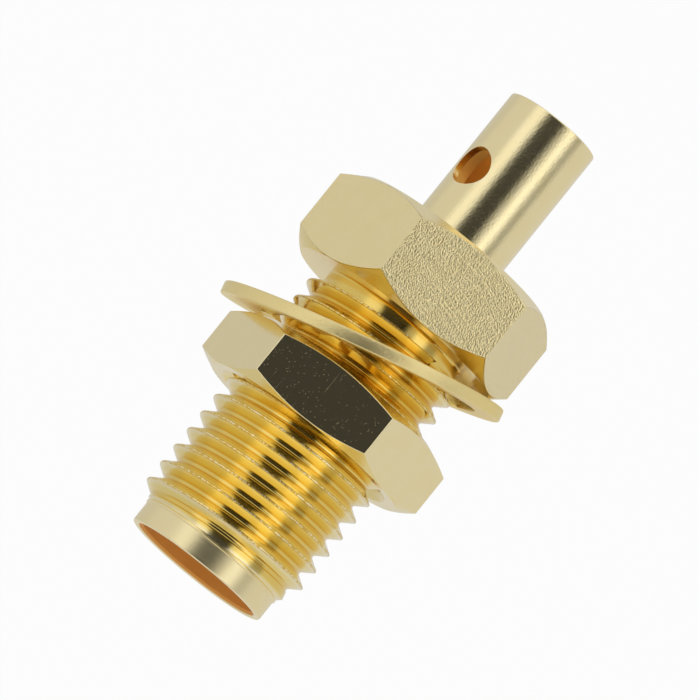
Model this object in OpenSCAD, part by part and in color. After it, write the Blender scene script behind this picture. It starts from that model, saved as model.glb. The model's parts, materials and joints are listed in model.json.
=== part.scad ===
// Bulkhead jack of the SMA family, for a small semi-rigid coaxial cable.
// Threaded gold-plated body with a hexagonal flange and a soldering tail, white dielectric,
// slotted centre contact, toothed lock washer and hexagonal panel nut.
// Origin on the connector's axis, in the flange's panel face; +Z runs to the mating end.
// All sizes are in millimetres.

/* [Body] */
// Length from the panel face to the front rim
front_len = 10.5; // [9.5:0.1:11.5]
// Length of the soldering tail behind the flange
tail_len = 5.35; // [4:0.05:7]
// Outer diameter of the soldering tail
tail_d = 3.46; // [3.2:0.02:3.8]
// Thickness of the hexagonal flange
flange_t = 3.15; // [2.4:0.05:4]
// Outer diameter of the smooth sleeve in front of the thread
sleeve_d = 5.29; // [5.2:0.01:5.34]

/* [Hexagons] */
// Width across the flats of the flange
flange_flats = 7.94; // [7.8:0.02:8.3]
// Width across the flats of the nut
nut_flats = 7.8; // [7.74:0.02:8.2]
// Distance from the flats to the start of the chamfers on the front faces
front_cut = 0.03; // [0.01:0.01:0.15]
// Distance from the flats to the start of the chamfers on the rear faces
rear_cut = 0.2; // [0.1:0.01:0.3]
// Slope of the flange's front chamfer, in degrees
flange_front_angle = 40; // [25:1:42]
// Slope of the flange's rear chamfer, in degrees
flange_rear_angle = 31.5; // [20:0.5:35]
// Slope of the nut's chamfers, in degrees
nut_angle = 26; // [20:0.5:32]

/* [Thread] */
// Outer diameter of the thread
thread_d = 6.26; // [6.2:0.01:6.35]
// Distance from one crest to the next
pitch = 0.7056; // [0.68:0.0001:0.73]
// Width of a crest
crest_w = 0.085; // [0.06:0.005:0.11]
// Width of a root
root_w = 0.155; // [0.13:0.005:0.2]
// Distance from the front rim to the first full crest
first_crest = 1.384; // [1.35:0.002:1.5]
// Length of the relief between thread and flange
relief_len = 0.45; // [0.3:0.05:0.5]

/* [Bores] */
// Diameter of the mating bore
mating_d = 4.62; // [4.6:0.01:4.7]
// Depth of the mating bore, from the front rim to the reference plane
mating_depth = 1.93; // [1.88:0.01:2]
// Depth of the chamfer at its mouth
mouth_c = 0.125; // [0.05:0.005:0.15]
// Diameter of the bore for the cable's outer conductor
cable_d = 2.25; // [2.2:0.01:2.4]
// Height of the cable's stop, measured from the panel face
cable_stop = -1.2; // [-2:0.1:-1]
// Diameter of the passage round the rear of the contact
passage_d = 1.7; // [1.6:0.05:1.9]
// Height of the shoulder that the dielectric rests on
shoulder_z = 0.9; // [0.5:0.1:1.5]
// Diameter of the solder hole in the tail's wall
solder_hole_d = 1.48; // [1.2:0.02:1.6]
// Distance from the tail's end to the solder hole
solder_hole_z = 2.92; // [2:0.02:3.2]
// Direction of the solder hole round the axis, in degrees
solder_hole_at = -29; // [-90:1:90]

/* [Dielectric and contact] */
// Outer diameter of the dielectric
dielectric_d = 4.1; // [4:0.02:4.16]
// Outer diameter of the contact
contact_d = 1.27; // [1.2:0.01:1.4]
// Diameter of the socket for the mating pin
socket_d = 0.94; // [0.9:0.01:0.98]
// Depth of the socket
socket_depth = 2.8; // [2.4:0.1:3.5]
// Width of the socket's four slots
slot_w = 0.16; // [0.1:0.02:0.2]
// Length of the slots
slot_len = 2.1; // [1.5:0.1:2.3]
// Height of the barb's step, measured from the panel face
barb_z = 3.2; // [2.5:0.1:4]
// Diameter of the barb
barb_d = 1.6; // [1.45:0.05:1.7]
// Diameter of the solder cup for the cable's inner conductor
cup_d = 0.56; // [0.52:0.02:0.7]
// Depth of the solder cup
cup_depth = 2; // [1.5:0.1:2.5]

/* [Nut] */
// Thickness of the nut
nut_t = 2.2; // [1.8:0.05:2.6]
// Height of the nut above the panel face
nut_z = 2.63; // [2.6:0.01:4]
// Turn of the nut against the flange, in degrees
nut_turn = 16.35; // [0:0.05:59]

/* [Lock washer] */
// Outer diameter of the washer
washer_d = 10.16; // [9.8:0.02:10.4]
// Thickness of the washer
washer_t = 0.43; // [0.35:0.01:0.45]
// Width of the washer's closed ring, outside the teeth
ring_w = 0.88; // [0.8:0.02:0.96]
// Gap between the thread's crests and the circle that the teeth reach in to
teeth_gap = 0.47; // [0.46:0.01:0.6]
// Number of teeth
teeth = 10; // [8:1:12]
// Width of a tooth
tooth_w = 1; // [0.7:0.05:1.2]
// Thickness of a tooth
tooth_t = 0.33; // [0.25:0.01:0.35]
// Length of a tooth's root inside the closed ring
tooth_root = 0.15; // [0.1:0.01:0.3]
// Twist of a tooth out of the washer's plane, in degrees
tooth_twist = 12; // [4:1:13]
// Height of the washer's centre above the panel face
washer_z = 1.38; // [1.36:0.01:1.4]
// Distance that the washer hangs off the axis
washer_off = 0.25; // [0.1:0.01:0.25]
// Direction in which it hangs, in degrees
washer_off_at = 11.4; // [0:0.1:30]
// Tilt of the washer on the thread, in degrees
washer_tilt = 14.4; // [12:0.1:14.5]
// Direction of its low side, in degrees
washer_low_at = 173.6; // [160:0.1:190]

/* [Fits] */
// Gap between dielectric and body
press_gap = 0.01; // [0.005:0.005:0.02]
// Gap between contact and dielectric
contact_gap = 0.01; // [0.005:0.005:0.02]
// Gap between the crests of the thread and the nut's bore
thread_gap = 0.04; // [0.02:0.01:0.06]

/* [Hidden] */
$fn = 96;
eps = 0.01;
tail_z = -flange_t - tail_len;
ref_z = front_len - mating_depth;
thread_r = thread_d / 2;
flank_h = (pitch - crest_w - root_w) / 2;
root_r = thread_r - flank_h * tan(60);
top_crest = front_len - first_crest;
crests = floor((top_crest - relief_len - crest_w / 2 - 0.1) / pitch) + 1;
edge_c = 0.08;
dielectric_r = dielectric_d / 2;
contact_r = contact_d / 2;
contact_rear = cable_stop + 0.2;
nut_bore_r = thread_r + thread_gap;
ring_d = washer_d - 2 * ring_w;
teeth_d = thread_d + 2 * teeth_gap;
GOLD = [0.86, 0.7, 0.36];
WHITE = [0.94, 0.94, 0.92];

// Bar with six flats whose corners are turned to a chamfer at both ends
module chamfered_hex(flats, t, rear_angle, front_angle) {
    corner_r = flats / sqrt(3);
    rear_r = flats / 2 - rear_cut;
    front_r = flats / 2 - front_cut;
    rear_drop = (corner_r + eps - rear_r) * tan(rear_angle);
    front_drop = (corner_r + eps - front_r) * tan(front_angle);
    intersection() {
        cylinder(r = corner_r, h = t, $fn = 6);
        rotate_extrude()
            polygon([[0, 0], [rear_r, 0], [corner_r + eps, rear_drop],
                     [corner_r + eps, t - front_drop], [front_r, t], [0, t]]);
    }
}

// Crests and roots of the thread, from the relief up to the first full crest
function thread_profile() = [
    for (i = [crests - 1 : -1 : 0])
        let (z = top_crest - i * pitch)
            each [[root_r, z - crest_w / 2 - flank_h], [thread_r, z - crest_w / 2],
                  [thread_r, z + crest_w / 2],
                  if (i > 0) [root_r, z + crest_w / 2 + flank_h]]
];

// Everything in front of the flange, turned in one piece
module threaded_barrel() {
    lead_z = top_crest + crest_w / 2 + thread_r - sleeve_d / 2;
    rotate_extrude()
        polygon(concat(
            [[0, -eps], [root_r, -eps]],
            thread_profile(),
            [[sleeve_d / 2, lead_z], [sleeve_d / 2, front_len - edge_c],
             [sleeve_d / 2 - edge_c, front_len], [0, front_len]]));
}

// Soldering tail with its end edge broken
module tail() {
    rotate_extrude()
        polygon([[0, tail_z], [tail_d / 2 - edge_c, tail_z], [tail_d / 2, tail_z + edge_c],
                 [tail_d / 2, -flange_t + eps], [0, -flange_t + eps]]);
}

// Stepped bore through the whole body, from the cable's end to the mating end
module body_bores() {
    rotate_extrude()
        polygon([[0, tail_z - eps], [cable_d / 2 + mouth_c + eps, tail_z - eps],
                 [cable_d / 2, tail_z + mouth_c],
                 [cable_d / 2, cable_stop], [passage_d / 2, cable_stop],
                 [passage_d / 2, shoulder_z], [dielectric_r + press_gap, shoulder_z],
                 [dielectric_r + press_gap, ref_z], [mating_d / 2, ref_z],
                 [mating_d / 2, front_len - mouth_c],
                 [mating_d / 2 + mouth_c + eps, front_len + eps], [0, front_len + eps]]);
    translate([0, 0, tail_z + solder_hole_z])
        rotate([0, 90, solder_hole_at])
            cylinder(d = solder_hole_d, h = tail_d);
}

module body() {
    color(GOLD)
        difference() {
            union() {
                threaded_barrel();
                translate([0, 0, -flange_t])
                    chamfered_hex(flange_flats, flange_t, flange_rear_angle, flange_front_angle);
                tail();
            }
            body_bores();
        }
}

// Outline of the contact from its rear end to the reference plane, grown by g
function contact_outline(g) = [
    [contact_r + g, contact_rear - g], [contact_r + g, barb_z - g], [barb_d / 2 + g, barb_z - g],
    [barb_d / 2 + g, barb_z + 0.1], [contact_r + g, barb_z + 0.9]
];

module insulator() {
    color(WHITE)
        difference() {
            translate([0, 0, shoulder_z]) cylinder(r = dielectric_r, h = ref_z - shoulder_z);
            rotate_extrude()
                polygon(concat([[0, contact_rear - contact_gap]], contact_outline(contact_gap),
                               [[contact_r + contact_gap, ref_z + eps], [0, ref_z + eps]]));
        }
}

// Round contact with a slotted socket in front and a solder cup behind
module contact() {
    color(GOLD)
        difference() {
            rotate_extrude()
                polygon(concat([[0, contact_rear]], contact_outline(0),
                               [[contact_r, ref_z - 0.06], [contact_r - 0.06, ref_z], [0, ref_z]]));
            translate([0, 0, ref_z - socket_depth])
                cylinder(d = socket_d, h = socket_depth + eps);
            translate([0, 0, contact_rear - eps]) cylinder(d = cup_d, h = cup_depth + eps);
            for (a = [0, 90])
                rotate(a) translate([-contact_d, -slot_w / 2, ref_z - slot_len])
                    cube([2 * contact_d, slot_w, slot_len + eps]);
        }
}

module nut() {
    sink = 0.25;
    color(GOLD)
        translate([0, 0, nut_z]) rotate(nut_turn)
            difference() {
                chamfered_hex(nut_flats, nut_t, nut_angle, nut_angle);
                rotate_extrude()
                    polygon([[0, -eps], [nut_bore_r + sink + eps, -eps], [nut_bore_r, sink],
                             [nut_bore_r, nut_t - sink], [nut_bore_r + sink + eps, nut_t + eps],
                             [0, nut_t + eps]]);
            }
}

// Flat ring with twisted teeth inside, tilted on the thread between nut and flange
module lock_washer() {
    tooth_l = (ring_d - teeth_d) / 2 + tooth_root;
    color(GOLD)
        rotate(washer_off_at) translate([washer_off, 0, washer_z]) rotate(-washer_off_at)
            rotate(washer_low_at) rotate([0, washer_tilt, 0]) {
                difference() {
                    cylinder(d = washer_d, h = washer_t, center = true);
                    cylinder(d = ring_d, h = 2 * washer_t, center = true);
                }
                for (i = [0 : teeth - 1])
                    rotate((i + 0.5) * 360 / teeth) translate([teeth_d / 2, 0, 0])
                        rotate([tooth_twist, 0, 0])
                            translate([0, -tooth_w / 2, -tooth_t / 2])
                                cube([tooth_l, tooth_w, tooth_t]);
            }
}

body();
insulator();
contact();
nut();
lock_washer();
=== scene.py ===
# %% [markdown]
# # A threaded coaxial jack for a panel
# The real object is a small gold-plated connector: a turned barrel with a fine thread, a hexagonal
# flange, a soldering tail, and on the thread a toothed lock washer and a hexagonal nut. The measured
# model is loaded as a fixed frame, and every visible piece is made around it.

# %% Load the measured frame
import json
import math
import bpy
from mathutils import Matrix, Vector


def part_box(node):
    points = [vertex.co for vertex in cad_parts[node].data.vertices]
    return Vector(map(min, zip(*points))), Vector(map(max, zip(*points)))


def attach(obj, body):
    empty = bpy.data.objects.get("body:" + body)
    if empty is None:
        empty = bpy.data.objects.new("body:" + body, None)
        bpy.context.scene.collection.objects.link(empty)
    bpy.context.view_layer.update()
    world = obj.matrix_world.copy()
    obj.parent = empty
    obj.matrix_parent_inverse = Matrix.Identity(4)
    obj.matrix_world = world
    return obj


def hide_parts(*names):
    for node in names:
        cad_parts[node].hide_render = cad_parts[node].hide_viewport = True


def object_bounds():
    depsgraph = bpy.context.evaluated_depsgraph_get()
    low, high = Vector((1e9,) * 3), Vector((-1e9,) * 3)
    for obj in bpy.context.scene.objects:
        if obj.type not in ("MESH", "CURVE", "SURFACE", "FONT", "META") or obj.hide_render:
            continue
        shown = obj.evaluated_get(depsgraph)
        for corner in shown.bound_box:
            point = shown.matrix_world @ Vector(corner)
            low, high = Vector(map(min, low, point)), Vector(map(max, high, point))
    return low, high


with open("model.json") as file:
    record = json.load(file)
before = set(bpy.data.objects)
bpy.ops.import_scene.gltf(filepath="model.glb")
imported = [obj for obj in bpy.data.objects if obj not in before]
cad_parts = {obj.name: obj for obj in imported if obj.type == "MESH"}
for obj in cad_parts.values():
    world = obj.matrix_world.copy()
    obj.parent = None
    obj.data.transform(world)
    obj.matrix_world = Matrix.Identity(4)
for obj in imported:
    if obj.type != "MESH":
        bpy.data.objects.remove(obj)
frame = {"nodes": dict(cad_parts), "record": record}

cad_low, cad_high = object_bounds()
print("measured box in mm:", [round(x * 1000, 2) for x in (*cad_low, *cad_high)])

# %% [markdown]
# ## Sizes
# The pieces are modelled in millimetres, as on the maker's drawing, and each is scaled to metres when
# it is finished. Heights and bores are read from the frame, so the pieces land where the measured ones
# are; the sizes typed here are those that no box or mount gives.

# %% Sizes in millimetres
MM = 0.001
MOUNTS = {m["name"]: m for m in frame["record"]["mounts"]}


def span(node):
    low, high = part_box(node)
    return low[2] / MM, high[2] / MM


tail_end, front_rim = span("body")
nut_back, nut_front = span("nut")
shoulder, reference = span("insulator")
MATING_R = MOUNTS["mating_bore"]["dims"]["r_mm"]
CABLE_R = MOUNTS["cable_bore"]["dims"]["r_mm"]
ENTRY_CUT = 0.125    # chamfer at the mouth of a bore
CABLE_STOP = tail_end + ENTRY_CUT + MOUNTS["cable_bore"]["dims"]["length_mm"]

FLANGE_T = 3.15
FLANGE_FLATS, NUT_FLATS = 7.94, 7.80
FLANGE_TURN, NUT_TURN = 0.0, 16.35
SLEEVE_R = 2.645
TAIL_R = 1.73
CORE_R = 0.85        # where walls that no view shows end inside the body
CREST_R = 3.13
ROOT_R = 2.727
PITCH = 0.7056
LEAD_TOP = 9.643     # where the cone in front of the thread meets the sleeve
RELIEF_TOP, RELIEF_R = 0.45, 2.715
CREST_AT = 9.137     # height of a crest in the direction CREST_TURN
CREST_TURN = 11.4
WASHER_R = 5.075
WASHER_T = 0.43
print("tail end", round(tail_end, 3), "rim", round(front_rim, 3),
      "nut", round(nut_back, 3), round(nut_front, 3))

# %% [markdown]
# ## Camera
# The connector hangs in the view with its mating end to the lower left. The camera stands in front
# of it and a little above, with a long lens, and is rolled so that the axis runs across the corner
# of the frame. Its axes are built from the direction it looks from and the roll.

# %% Camera
AZIMUTH, ELEVATION, DISTANCE = 11.4, 8.0, 0.300
AXIS_SLANT = 51.15   # slope of the connector's axis in the frame, in degrees
IMAGE, SCALE = 700, 30.3 / MM


def polar(azimuth, elevation):
    """Direction seen at that azimuth, 0 being the front, and elevation, in degrees."""
    a, e = math.radians(azimuth), math.radians(elevation)
    return Vector((math.sin(a) * math.cos(e), -math.cos(a) * math.cos(e), math.sin(e)))


back = polar(AZIMUTH, ELEVATION)
lift = polar(AZIMUTH + 180, 90 - ELEVATION)
aside = lift.cross(back)
slant = math.radians(AXIS_SLANT)
right = -math.sin(slant) * aside - math.cos(slant) * lift
up = math.cos(slant) * aside - math.sin(slant) * lift
target = Vector((0, 0, 1.0 * MM)) - right * (25.1 / SCALE) - up * (2.8 / SCALE)

camera = bpy.data.objects.new("camera", bpy.data.cameras.new("camera"))
bpy.context.scene.collection.objects.link(camera)
bpy.context.scene.camera = camera
camera.data.sensor_width = 36
camera.data.lens = SCALE * DISTANCE / IMAGE * 36
camera.matrix_world = Matrix.Translation(target + back * DISTANCE) @ Matrix(
    (right, up, back)).transposed().to_4x4()
camera.data.clip_start, camera.data.clip_end = 0.01, 10
bpy.context.scene.view_settings.view_transform = "Standard"
print("lens", round(camera.data.lens, 1), "mm")

# %% [markdown]
# ## A small language for nodes
# Materials are sums of simple patterns. A thin class wraps a node's output, so that `1 - mask * 0.3`
# adds the Math nodes by itself, and one method adds every other kind of node: its settings first,
# then the values or links of its inputs.

# %% Node helpers
class Wire:
    """One output of a node, which can be used in sums."""

    def __init__(self, net, socket):
        self.net, self.socket = net, socket

    def math(self, operation, *values):
        return self.net.add("ShaderNodeMath", {"operation": operation}, dict(enumerate(values)))

    def __add__(self, other): return self.math("ADD", self, other)
    def __radd__(self, other): return self.math("ADD", other, self)
    def __sub__(self, other): return self.math("SUBTRACT", self, other)
    def __rsub__(self, other): return self.math("SUBTRACT", other, self)
    def __mul__(self, other): return self.math("MULTIPLY", self, other)
    def __rmul__(self, other): return self.math("MULTIPLY", other, self)
    def __truediv__(self, other): return self.math("DIVIDE", self, other)
    def __rtruediv__(self, other): return self.math("DIVIDE", other, self)
    def __pow__(self, other): return self.math("POWER", self, other)
    def __lt__(self, other): return self.math("LESS_THAN", self, other)
    def __abs__(self): return self.math("ABSOLUTE", self)

    def ease(self, start, end):
        """0 before start and 1 after end, with a smooth step between."""
        return self.net.add(
            "ShaderNodeMapRange", {"interpolation_type": "SMOOTHSTEP"},
            {"Value": self, "From Min": start, "From Max": end})


class Net:
    """The node tree of one material or of the world."""

    def __init__(self, owner):
        owner.use_nodes = True
        self.tree = owner.node_tree
        self.tree.nodes.clear()

    def add(self, kind, settings=None, inputs=None, output=0):
        """A new node with its settings, and then the values or links of its inputs."""
        node = self.tree.nodes.new(kind)
        for name, value in (settings or {}).items():
            setattr(node, name, value)
        for name, value in (inputs or {}).items():
            if isinstance(value, Wire):
                self.tree.links.new(value.socket, node.inputs[name])
            else:
                node.inputs[name].default_value = value
        return Wire(self, node.outputs[output]) if node.outputs else None

    def mix(self, factor, a, b):
        """Colour between a and b."""
        return self.add("ShaderNodeMix", {"data_type": "RGBA"}, {0: factor, 6: a, 7: b}, 2)

    def split(self, vector):
        node = self.add("ShaderNodeSeparateXYZ", None, {0: vector}).socket.node
        return [Wire(self, s) for s in node.outputs]

    def point(self, x, y, z):
        return self.add("ShaderNodeCombineXYZ", None, {0: x, 1: y, 2: z})

    def noise(self, vector, scale, detail, rough):
        return self.add("ShaderNodeTexNoise", None, {
            "Vector": vector, "Scale": scale, "Detail": detail, "Roughness": rough})

    def arctangent(self, y, x):
        return self.add("ShaderNodeMath", {"operation": "ARCTAN2"}, {0: y, 1: x})

    def millimetres(self):
        """Place on the piece itself, in millimetres."""
        return self.add("ShaderNodeVectorMath", {"operation": "SCALE"}, {
            0: self.add("ShaderNodeTexCoord", output="Object"), "Scale": 1 / MM})

    def relief(self, height):
        """Normals bent by a height in micrometres."""
        return self.add("ShaderNodeBump", None, {
            "Strength": 1.0, "Distance": 1e-6, "Height": height})


# %% [markdown]
# ## Light
# Polished gold shows its surroundings, so the light is the finish. The connector sits in a white
# light tent. The lens looks in through a gap, which mirrors as a dark stripe down every round
# surface, and the two tent panels beside the gap are the brightest, so a bright line follows the
# stripe on each side. The gap reaches far up, and that is what the thread shows: light that strikes
# one flank of a groove leaves by the other, so only one side of each groove mirrors the gap. Rays
# that go straight to the camera meet plain white.

# %% Light tent
WHITE = (1, 1, 1, 1)
world = bpy.data.worlds.new("tent")
bpy.context.scene.world = world
tent = Net(world)
look = tent.add("ShaderNodeTexCoord", output="Generated")


def along(direction):
    """How far a ray's direction points along a fixed one."""
    return tent.add("ShaderNodeVectorMath", {"operation": "DOT_PRODUCT"},
                    {0: look, 1: tuple(direction)}, "Value")


toward, sideways = along(polar(AZIMUTH, 0)), along(polar(AZIMUTH - 90, 0))
rise = along((0, 0, 1))
swing = tent.arctangent(sideways, toward) * (180 / math.pi)
climb = rise.math("ARCSINE", rise) * (180 / math.pi)


def panel(left, right, low, high, soft):
    """1 inside a window of the tent between those angles and 0 outside, over soft degrees."""
    wide, high_half = (right - left) / 2, (high - low) / 2
    across = abs(swing - (left + right) / 2).ease(wide - soft / 2, wide + soft / 2)
    tall = abs(climb - (low + high) / 2).ease(high_half - soft / 2, high_half + soft / 2)
    return (1 - across) * (1 - tall)


level = (0.68 + 0.22 * panel(-52, 56, -64, 66, 12) + 0.10 * panel(-58, -34, -64, 66, 10)
         + 0.24 * panel(30, 54, -64, 66, 10) - 0.30 * panel(56, 76, -30, 32, 10)
         - 0.08 * panel(-165, -112, -90, 90, 20))
gap = (abs((swing + 3) / 26) ** 4 + abs((climb - 18) / 46) ** 4) ** 0.25
level = level * (0.05 + 0.95 * gap.ease(0.74, 1.10)) * (1 - 0.46 * panel(8, 34, -26, 16, 10))
rays = tent.add("ShaderNodeLightPath").socket.node.outputs
straight = Wire(tent, rays["Is Camera Ray"])
mirrored = Wire(tent, rays["Is Glossy Ray"])
shown = mirrored * level + (1 - mirrored)
shown = straight.math("MAXIMUM", shown, straight)
sky = tent.add("ShaderNodeBackground", None, {"Color": WHITE, "Strength": shown})
tent.add("ShaderNodeOutputWorld", None, {"Surface": sky})
print("light tent of", len(tent.tree.nodes), "nodes")

# %% [markdown]
# A pale floor lies well below the tail, so its shadow stays soft.

# %% Floor
bpy.ops.mesh.primitive_plane_add(size=4, location=(0, 0, cad_low[2] - 12 * MM))
floor = bpy.context.object
floor.name = "floor"
paper = Net(bpy.data.materials.new("paper"))
seen = paper.add("ShaderNodeLightPath", output="Is Camera Ray")
matt = paper.add("ShaderNodeBsdfDiffuse", None, {"Color": (0.86, 0.86, 0.86, 1)})
bright = paper.add("ShaderNodeEmission", None, {"Color": WHITE, "Strength": 1.0})
paper.add("ShaderNodeOutputMaterial", None, {
    "Surface": paper.add("ShaderNodeMixShader", None, {0: seen * 0.85, 1: matt, 2: bright})})
floor.data.materials.append(bpy.data.materials["paper"])
floor.visible_glossy = False
print("floor", round((cad_low[2] - floor.location.z) / MM, 1), "mm below the tail")

# %% [markdown]
# ## Workshop helpers
# Most surfaces of a connector come off a lathe, so the main helper spins an outline round the axis.

# %% Workshop helpers
COLUMNS = 128        # faces round a turned piece
SMOOTH = math.radians(25)


def fresh():
    """Object mode with nothing selected."""
    if bpy.context.object and bpy.context.object.mode != "OBJECT":
        bpy.ops.object.mode_set(mode="OBJECT")
    bpy.ops.object.select_all(action="DESELECT")


def take(piece):
    """Only this piece selected."""
    fresh()
    piece.select_set(True)
    bpy.context.view_layer.objects.active = piece


def wire_outline(name, outline):
    """A chain of edges through (radius, height) points, by extruding one vertex again and again."""
    fresh()
    bpy.ops.mesh.primitive_plane_add(size=1)
    piece = bpy.context.object
    piece.name = name
    bpy.ops.object.mode_set(mode="EDIT")
    bpy.ops.mesh.select_mode(type="VERT")
    bpy.ops.mesh.merge(type="CENTER")
    bpy.ops.transform.translate(value=(outline[0][0], 0, outline[0][1]))
    for (ra, za), (rb, zb) in zip(outline, outline[1:]):
        bpy.ops.mesh.extrude_region_move(TRANSFORM_OT_translate={"value": (rb - ra, 0, zb - za)})
    bpy.ops.object.mode_set(mode="OBJECT")
    return piece


def clean(piece, gap=0.0005):
    """Merges doubles and points every face outwards."""
    take(piece)
    bpy.ops.object.mode_set(mode="EDIT")
    bpy.ops.mesh.select_all(action="SELECT")
    bpy.ops.mesh.remove_doubles(threshold=gap)
    bpy.ops.mesh.dissolve_degenerate(threshold=gap / 5)
    bpy.ops.mesh.normals_make_consistent(inside=False)
    bpy.ops.object.mode_set(mode="OBJECT")


def turned(name, outline, columns=COLUMNS):
    """A closed outline spun round the axis into a ring-shaped solid."""
    piece = wire_outline(name, [*outline, outline[0]])
    take(piece)
    bpy.ops.object.mode_set(mode="EDIT")
    bpy.ops.mesh.select_all(action="SELECT")
    bpy.ops.mesh.remove_doubles(threshold=0.0001)
    bpy.ops.mesh.spin(steps=columns, angle=2 * math.pi, center=(0, 0, 0), axis=(0, 0, 1))
    bpy.ops.object.mode_set(mode="OBJECT")
    clean(piece)
    return piece


def boolean(piece, tool, operation):
    """Cuts or joins with another piece, which is used up."""
    take(piece)
    step = piece.modifiers.new("cut", "BOOLEAN")
    step.operation, step.solver, step.object = operation, "EXACT", tool
    bpy.ops.object.modifier_apply(modifier=step.name)
    bpy.data.objects.remove(tool)


def soften(piece, width, limit=35, segments=3):
    """Breaks every edge sharper than limit degrees, as deburring does."""
    take(piece)
    step = piece.modifiers.new("edge", "BEVEL")
    step.width, step.segments, step.limit_method = width, segments, "ANGLE"
    step.angle_limit = math.radians(limit)
    bpy.ops.object.modifier_apply(modifier=step.name)


def finish(piece, body, material, flat=False):
    """Shades a piece, scales it to metres and lets it ride on its body. flat keeps the large faces
    flat up to their edges, so that only the narrow bevels look round."""
    take(piece)
    bpy.ops.object.shade_smooth_by_angle(angle=SMOOTH)
    if flat:
        step = piece.modifiers.new("flat", "WEIGHTED_NORMAL")
        step.keep_sharp, step.weight = True, 100
        bpy.ops.object.modifier_apply(modifier=step.name)
    piece.scale = (MM, MM, MM)
    bpy.ops.object.transform_apply(location=True, rotation=True, scale=True)
    piece.data.materials.clear()
    piece.data.materials.append(material)
    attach(piece, body)
    print(piece.name, len(piece.data.polygons), "faces")


# %% [markdown]
# ## Gold
# Gold plate on turned brass is a pure metal: no paint-like colour, only a tinted mirror. What tells
# the surfaces apart is their texture. The maker here gives each piece the same colour and its own
# grain: fine pits, turning lines that run round the axis, or milled arcs across a flat. On top of that
# colour, shade and the light that bounces between gold surfaces are painted in: darker, more orange
# gold in the grooves of the thread and at their roots, inside the bores, behind the nut, on the
# flange's front face and over the washer.

# %% Gold
# PALE and RICH are the plate's own tones, mixed at random. The other four colours are painted shade
# and bounce light: darker, more orange gold for the grooves, their roots, the barrel's bores and the
# tail's bore.
PALE, RICH, GROOVE_SHADE = (0.97, 0.84, 0.50, 1), (0.96, 0.80, 0.41, 1), (0.94, 0.74, 0.25, 1)
ROOT_SHADE, BORE_SHADE, TAIL_BORE_SHADE = (0.82, 0.54, 0.10, 1), (0.66, 0.29, 0.05, 1), (0.97, 0.62, 0.16, 1)
MILL_ASIDE, MILL_HEIGHT = 1.1, 5.9   # centre of the face mill's arcs, seen on a flat


def gold(name, rough, texture, bore=0.0, bore_shade=BORE_SHADE):
    """Gold plate. texture gives the height of its grain in micrometres, how far the colour is painted
    towards darker, more orange gold, mostly as shade and bounce light and partly as the plate's own
    tone, from 0 on open faces over 1 in grooves, which mirror each other, to 2 at their roots, and how
    much duller it is than rough. Inside the radius bore the plate is duller and its colour is painted
    darker as shade, with the colour given for the bore, as down a drilled hole, but not on the end
    face of the tail."""
    material = bpy.data.materials.new(name)
    net = Net(material)
    place = net.millimetres()
    x, y, z = net.split(place)
    radius = (x * x + y * y) ** 0.5
    height, tone_and_painted_shade, dull = texture(net, place, radius, net.arctangent(y, x), z)
    cloud = net.noise(place, 1.3, 2.0, 0.5)
    smear = net.noise(place, 6.0, 3.0, 0.6)
    colour = net.mix(cloud.ease(0.35, 0.7) * 0.3 + 0.1, PALE, RICH)
    # Painted shade and bounce light: the colour is pulled towards the darker groove gold and on
    # towards the darker root gold.
    if isinstance(tone_and_painted_shade, Wire):
        colour = net.mix(tone_and_painted_shade - 1, net.mix(tone_and_painted_shade, colour, GROOVE_SHADE), ROOT_SHADE)
    metallic, roughness = 1.0, rough + (smear - 0.5) * rough * 0.5 + dull
    # Painted shade in the bores: the colour goes darker and more orange there; the plate there is also
    # duller and less metallic.
    if bore:
        inside = (1 - radius.ease(bore - 0.03, bore)) * z.ease(tail_end + 0.15, tail_end + 0.6)
        colour = net.mix(inside, colour, bore_shade)
        metallic, roughness = 1.0 - inside * 0.45, roughness + inside * 0.35
    net.add("ShaderNodeOutputMaterial", None, {
        "Surface": net.add("ShaderNodeBsdfPrincipled", None, {
            "Base Color": colour, "Metallic": metallic, "Roughness": roughness,
            "Normal": net.relief(height)})})
    return material


def threaded(net, place, radius, angle, z):
    """Fine lathe lines round the axis, and crests that are a little torn."""
    grooves, sleeve = 1 - z.ease(9.45, 9.6), z.ease(9.6, 9.7)
    lines = net.noise(net.point(radius * 22, z * 22, angle * 1.2), 1.0, 2.0, 0.6)
    burr = net.noise(place, 16, 2.0, 0.8) * radius.ease(CREST_R - 0.03, CREST_R - 0.012)
    bands = net.noise(net.point(radius * 16, z * 16, angle * 3), 1.0, 2.0, 0.6) * sleeve
    tip = radius.ease(CREST_R - 0.035, CREST_R - 0.025)
    torn = tip * net.noise(place, 9, 2.0, 0.7).ease(0.46, 0.54)
    # Painted shade and bounce light: the grooves, their roots and the thread behind the nut get
    # darker, more orange gold. The torn crest tips take the root colour as a tone of their own.
    root_shade = (1 - radius.ease(2.75, 2.86)) * z.ease(RELIEF_TOP, 0.6) * grooves
    shade_behind_nut = 1 - z.ease(2.4, 2.8)
    tone_and_painted_shade = (1 - radius.ease(2.92, 3.09)) * grooves + root_shade * 0.5 + torn * 1.8 + shade_behind_nut * 0.5
    height = lines * 0.9 + net.noise(place, 5, 3.0, 0.6) * 1.6 + burr * 14 + bands * 6
    return height, tone_and_painted_shade, sleeve * 0.18


def pitted(net, place, radius, angle, z):
    """Small pits all over, left by the plating bath."""
    return net.noise(place, 14, 2.0, 0.7) * 6, 0.0, 0.0


def on_flats(net, radius, angle, turn):
    """Place across one flat of a hexagon, distance of that flat from the axis, and a number that
    differs from flat to flat."""
    around = angle - math.radians(turn + 30)
    local = around.math("WRAP", around, math.pi / 6, -math.pi / 6)
    across, off = radius * local.math("SINE", local), radius * local.math("COSINE", local)
    return across, off, (around - local) * 3


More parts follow.
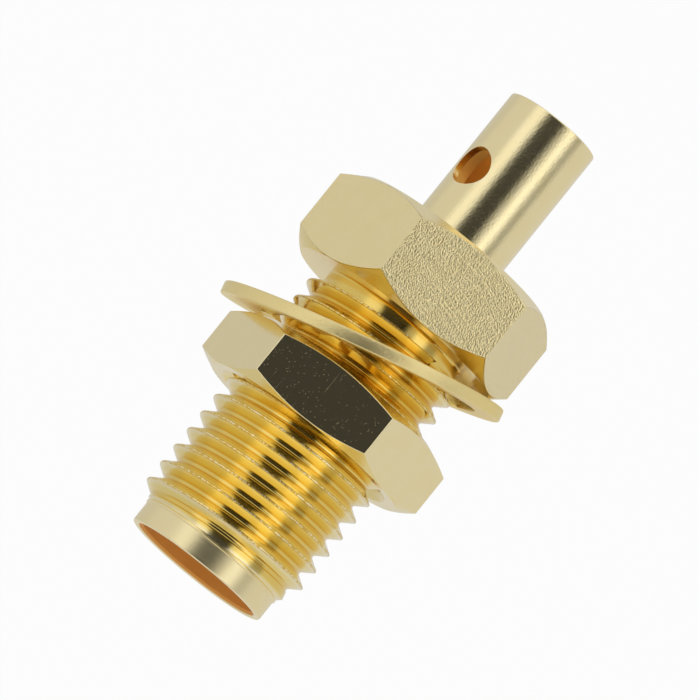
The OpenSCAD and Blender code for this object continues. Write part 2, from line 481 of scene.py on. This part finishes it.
def milled(net, place, radius, angle, z):
    """Arcs that a face mill leaves across a flat, under a fine grain."""
    across, off, flat = on_flats(net, radius, angle, FLANGE_TURN)
    reach = ((across - MILL_ASIDE) ** 2 + (z - MILL_HEIGHT) ** 2) ** 0.5
    arcs = net.noise(net.point(reach * 11, across * 0.5, flat), 1.0, 1.0, 0.5)
    grain = net.noise(place, 22, 1.0, 0.5)
    flats = off.ease(3.93, 3.955)
    # Painted shade and bounce light on the front face and chamfers of the flange, under the washer;
    # the flats get a touch of the darker gold as tone.
    tone_and_painted_shade = (1 - flats) * z.ease(-1.2, -0.6) * 0.8 + flats * 0.15
    return (arcs * 14 + grain * 21) * flats + net.noise(place, 7, 2.0, 0.5) * 0.8, tone_and_painted_shade, 0.0


def polished(net, place, radius, angle, z):
    """Nearly a mirror, with dust pits and a few handling scratches along the axis."""
    across, off, flat = on_flats(net, radius, angle, NUT_TURN)
    scratch = net.noise(net.point(across * 6, z * 0.2, flat), 1.0, 2.0, 0.7).ease(0.63, 0.68)
    dots = net.add("ShaderNodeTexVoronoi", None, {"Vector": place, "Scale": 11}, "Distance")
    speck, haze = 1 - dots.ease(0.04, 0.14), net.noise(place, 13, 3.0, 0.75)
    height = speck * 1.5 + scratch * 0.9 + haze * 3.5 + net.noise(place, 2.5, 2.0, 0.5)
    return height, (off < 3.88) * 0.7, 0.0


def stamped(net, place, radius, angle, z):
    """The torn edge and rolled faces of sheet metal."""
    # Painted bounce light and shade: the whole washer is pulled towards darker, more orange gold, most
    # on the teeth that sit on the thread.
    tone_and_painted_shade = 0.5 + 0.8 * (1 - radius.ease(4.5, 4.95))
    return net.noise(place, 11, 3.0, 0.75) * 15, tone_and_painted_shade, 0.0


def plain(net, place, radius, angle, z):
    """A smooth turned surface."""
    return net.noise(place, 12, 3.0, 0.6), 0.0, 0.0


GOLD_THREAD = gold("gold_thread", 0.12, threaded, bore=2.42)
GOLD_TAIL = gold("gold_tail", 0.17, pitted, bore=1.5, bore_shade=TAIL_BORE_SHADE)
GOLD_FLANGE = gold("gold_flange", 0.22, milled)
GOLD_NUT = gold("gold_nut", 0.10, polished)
GOLD_WASHER = gold("gold_washer", 0.36, stamped)
GOLD_CONTACT = gold("gold_contact", 0.16, plain)
print("gold finishes", [m.name for m in bpy.data.materials if m.name.startswith("gold_")])

# %% [markdown]
# ## Threaded barrel
# A die cuts the real thread: one groove that climbs 0.7056 mm a turn. The Screw modifier does the
# same with the outline of one pitch. The climbing band is then trimmed the way a lathe trims the
# blank, by a cone at the front and a flat at the relief, and the rings of the sleeve, the mating
# bore and the seat of the dielectric are pulled out of its open ends.

# %% Thread outline and screw
CREST_W, FLANK = 0.05, math.radians(34)
depth = CREST_R - ROOT_R
ROOT_ARC = ((PITCH - CREST_W) / 2 / math.tan(FLANK) - depth) / (1 / math.sin(FLANK) - 1)
arc = [(ROOT_R + ROOT_ARC * (1 - math.cos(t)), ROOT_ARC * math.sin(t) - PITCH / 2)
       for t in (math.radians(14 * i) for i in range(5))]
crest = [(CREST_R - 0.010, -CREST_W / 2 - 0.007), (CREST_R, -CREST_W / 2 + 0.006)]
rise_half = arc + crest
groove = rise_half + [(r, -z) for r, z in reversed(rise_half)]
turns = math.ceil((LEAD_TOP - RELIEF_TOP) / PITCH) + 4
first = CREST_AT - PITCH * (CREST_TURN / 360 + turns - 2)
barrel = wire_outline("threaded_barrel", [(r, z + first) for r, z in groove])
take(barrel)
screw = barrel.modifiers.new("thread", "SCREW")
screw.axis, screw.angle, screw.screw_offset = "Z", 2 * math.pi, PITCH
screw.iterations, screw.steps, screw.render_steps = turns, COLUMNS, COLUMNS
screw.use_merge_vertices, screw.merge_threshold = True, 0.0001
bpy.ops.object.modifier_apply(modifier=screw.name)
print("turns", turns, "vertices", len(barrel.data.vertices))

# %% Trim the ends of the thread
for v in barrel.data.vertices:
    r, z = v.co.xy.length, v.co.z
    if z >= LEAD_TOP:
        r_new, z = SLEEVE_R, LEAD_TOP
    elif z <= RELIEF_TOP:
        r_new, z = RELIEF_R, RELIEF_TOP
    else:
        r_new = min(r, SLEEVE_R + (LEAD_TOP - z))
    v.co.x, v.co.y, v.co.z = v.co.x * r_new / r, v.co.y * r_new / r, z
clean(barrel)
print("barrel after trimming", len(barrel.data.vertices), "vertices")


# %% Pull the rings
def pick_ring(piece, z, radius):
    """Selects the open edges at that height and radius, in edit mode."""
    take(piece)
    bpy.ops.object.mode_set(mode="EDIT")
    bpy.ops.mesh.select_mode(type="EDGE")
    bpy.ops.mesh.select_all(action="DESELECT")
    bpy.ops.object.mode_set(mode="OBJECT")
    used = {}
    for face in piece.data.polygons:
        for key in face.edge_keys:
            used[key] = used.get(key, 0) + 1
    points = piece.data.vertices
    picked = 0
    for edge in piece.data.edges:
        ends = [points[i].co for i in edge.vertices]
        edge.select = used.get(edge.key, 0) == 1 and all(
            abs(c.z - z) < 0.002 and abs(c.xy.length - radius) < 0.002 for c in ends)
        picked += edge.select
    bpy.ops.object.mode_set(mode="EDIT")
    return picked


def pull(radius, z, rings):
    """Extrudes the picked ring through (radius, height) stations."""
    for r, height in rings:
        bpy.ops.mesh.extrude_region_move(TRANSFORM_OT_translate={"value": (0, 0, height - z)})
        bpy.ops.transform.resize(value=(r / radius, r / radius, 1), center_override=(0, 0, 0))
        radius, z = r, height
    bpy.ops.object.mode_set(mode="OBJECT")


print("front ring", pick_ring(barrel, LEAD_TOP, SLEEVE_R))
SEAT_R, LIP, BURIED = 2.06, 0.04, -0.4   # BURIED is a height inside the flange
pull(SLEEVE_R, LEAD_TOP, [
    (SLEEVE_R + LIP, LEAD_TOP + 0.03), (SLEEVE_R + LIP, LEAD_TOP + 0.08),
    (SLEEVE_R, LEAD_TOP + 0.11), (SLEEVE_R, front_rim - 0.08),
    (SLEEVE_R - 0.023, front_rim - 0.023), (SLEEVE_R - 0.08, front_rim),
    (MATING_R + 0.15, front_rim), (MATING_R + 0.125, front_rim - 0.012),
    (MATING_R, front_rim - ENTRY_CUT), (MATING_R, reference), (SEAT_R, reference),
    (SEAT_R, shoulder), (CORE_R, shoulder), (CORE_R, BURIED)])
print("relief ring", pick_ring(barrel, RELIEF_TOP, RELIEF_R))
pull(RELIEF_R, RELIEF_TOP, [(RELIEF_R, 0.06), (RELIEF_R + 0.02, 0.02), (RELIEF_R + 0.06, -0.02),
                            (RELIEF_R, BURIED), (CORE_R, BURIED)])
clean(barrel)
finish(barrel, "body", GOLD_THREAD, flat=True)
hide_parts("body")

# %% [markdown]
# ## Flange and nut
# Both are cut from hexagonal bar and turned on a lathe, which leaves a cone on the corners at each
# end. A six-sided cylinder is the bar; intersecting it with a turned tool takes off the corners and
# opens the bore in one step, and a fine bevel breaks the edges so that they catch the light.

# %% Hexagonal pieces
EDGE = 0.055         # how far a sharp edge of the bar is broken


def hexagonal(name, flats, turn, low, high, low_cone, high_cone, bore):
    """A hexagonal bar from low to high with its corners turned off. A cone is the radius where it
    starts on the face and how far it runs down at the corner; bore is the inner outline, top down."""
    corner = flats / math.sqrt(3)
    reach = corner + 0.2
    low_drop, high_drop = ((reach - r) * drop / (corner - r) for r, drop in (low_cone, high_cone))
    tool = turned("tool", [
        (low_cone[0], low), (reach, low + low_drop), (reach, high - high_drop),
        (high_cone[0], high), *bore], 192)
    fresh()
    bpy.ops.mesh.primitive_cylinder_add(
        vertices=6, radius=corner, depth=high - low + 0.4, location=(0, 0, (low + high) / 2),
        rotation=(0, 0, math.radians(turn + 30)))
    piece = bpy.context.object
    piece.name = name
    bpy.ops.object.transform_apply(location=True, rotation=True, scale=True)
    boolean(piece, tool, "INTERSECT")
    clean(piece, 0.0003)
    soften(piece, EDGE)
    return piece


flange = hexagonal("hex_flange", FLANGE_FLATS, FLANGE_TURN, -FLANGE_T, 0.0,
                   (3.83, 0.50), (3.94, 0.54), [(1.5, 0.0), (1.5, -FLANGE_T)])
finish(flange, "body", GOLD_FLANGE, flat=True)

BORE_R = 3.17
SINK = 0.25
nut = hexagonal("panel_nut", NUT_FLATS, NUT_TURN, nut_back, nut_front,
                (3.64, 0.40), (3.87, 0.31), [
                    (BORE_R + SINK, nut_front), (BORE_R, nut_front - SINK),
                    (BORE_R, nut_back + SINK), (BORE_R + SINK, nut_back)])
finish(nut, "nut", GOLD_NUT, flat=True)
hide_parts("nut")

# %% [markdown]
# ## Soldering tail
# The tail is a plain tube, bored for the cable, with one hole in its wall to feed solder through.

# %% Soldering tail
TAIL_TOP = -0.6      # a height inside the flange
tail = turned("solder_tail", [
    (TAIL_R, TAIL_TOP), (TAIL_R, tail_end + 0.05), (TAIL_R - 0.015, tail_end + 0.015),
    (TAIL_R - 0.05, tail_end), (CABLE_R + 0.13, tail_end), (CABLE_R, tail_end + 0.13),
    (CABLE_R, CABLE_STOP), (CORE_R, CABLE_STOP), (CORE_R, TAIL_TOP)])
HOLE_R, HOLE_UP, HOLE_TURN = 0.74, 2.92, math.radians(-29)
fresh()
bpy.ops.mesh.primitive_cylinder_add(
    vertices=96, radius=HOLE_R, depth=3, rotation=(0, math.pi / 2, HOLE_TURN),
    location=(2 * math.cos(HOLE_TURN), 2 * math.sin(HOLE_TURN), tail_end + HOLE_UP))
boolean(tail, bpy.context.object, "DIFFERENCE")
clean(tail, 0.0003)
soften(tail, 0.02, limit=50)
finish(tail, "body", GOLD_TAIL, flat=True)

# %% [markdown]
# ## Lock washer
# The washer is stamped from thin sheet: a closed ring with teeth inside, each twisted a little out
# of the plane so that it bites. It lies tilted on the thread, as it fell.

# %% Lock washer
RING_IN = 4.2
TEETH, TOOTH_TIP, TOOTH_W, TOOTH_T, TWIST = 10, 3.6, 1.0, 0.33, math.radians(12)
LEAN, LEAN_TURN = math.radians(14.4), math.radians(173.6)
ASIDE, ASIDE_TURN, WASHER_AT = 0.25, math.radians(11.4), 1.38
half = WASHER_T / 2
washer = turned("tooth_washer", [
    (WASHER_R - 0.06, -half), (WASHER_R - 0.015, -half + 0.025), (WASHER_R, -half + 0.08),
    (WASHER_R, half - 0.03), (WASHER_R - 0.03, half), (RING_IN, half), (RING_IN, -half)], 160)


def tooth(number):
    """One tooth: a plate that narrows and twists towards its tip."""
    fresh()
    bpy.ops.mesh.primitive_cube_add(size=1)
    piece = bpy.context.object
    length = RING_IN + 0.3 - TOOTH_TIP
    piece.scale = (length, TOOTH_W, TOOTH_T)
    piece.location = (TOOTH_TIP + length / 2, 0, 0)
    bpy.ops.object.transform_apply(location=True, rotation=False, scale=True)
    bpy.ops.object.mode_set(mode="EDIT")
    bpy.ops.mesh.subdivide(number_cuts=5)
    bpy.ops.object.mode_set(mode="OBJECT")
    for v in piece.data.vertices:
        out = (v.co.x - TOOTH_TIP) / length
        twist = TWIST * (1 - out) ** 0.7
        y, z = v.co.y * (0.86 + 0.34 * out), v.co.z
        v.co.y = y * math.cos(twist) - z * math.sin(twist)
        v.co.z = y * math.sin(twist) + z * math.cos(twist)
    piece.rotation_euler = (0, 0, math.radians((number + 0.5) * 360 / TEETH))
    bpy.ops.object.transform_apply(location=False, rotation=True, scale=False)
    return piece


for number in range(TEETH):
    boolean(washer, tooth(number), "UNION")
clean(washer, 0.0003)
soften(washer, 0.02, limit=40, segments=2)
lean = Matrix.Rotation(LEAN_TURN, 4, "Z") @ Matrix.Rotation(LEAN, 4, "Y")
shift = Vector((ASIDE * math.cos(ASIDE_TURN), ASIDE * math.sin(ASIDE_TURN), WASHER_AT))
washer.matrix_world = Matrix.Translation(shift) @ lean
take(washer)
bpy.ops.object.transform_apply(location=True, rotation=True, scale=True)
finish(washer, "lock_washer", GOLD_WASHER)
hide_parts("lock_washer")

# %% [markdown]
# ## Dielectric and contact
# Their measured shapes are right as they are, so they only get their finishes: a white waxy
# fluoropolymer and polished gold.

# %% Dielectric and contact
white = bpy.data.materials.new("white_dielectric")
net = Net(white)
place = net.millimetres()
x, y, z = net.split(place)
swirl = net.noise(net.point((x * x + y * y) ** 0.5 * 14, z * 4, 0.0), 1.0, 2.0, 0.5)
dust = net.noise(place, 5.0, 3.0, 0.6)
net.add("ShaderNodeOutputMaterial", None, {"Surface": net.add("ShaderNodeBsdfPrincipled", None, {
    "Base Color": net.mix(dust.ease(0.4, 0.7) * 0.5, (0.93, 0.93, 0.92, 1), (0.87, 0.87, 0.85, 1)),
    "Roughness": 0.42 + dust * 0.1, "Normal": net.relief(swirl * 4 + dust * 2)})})
for node, material in (("insulator", white), ("contact", GOLD_CONTACT)):
    piece = frame["nodes"][node]
    for s in piece.material_slots:
        s.material = material
    if not piece.material_slots:
        piece.data.materials.append(material)
    print(node, "keeps its shape and gets", material.name)
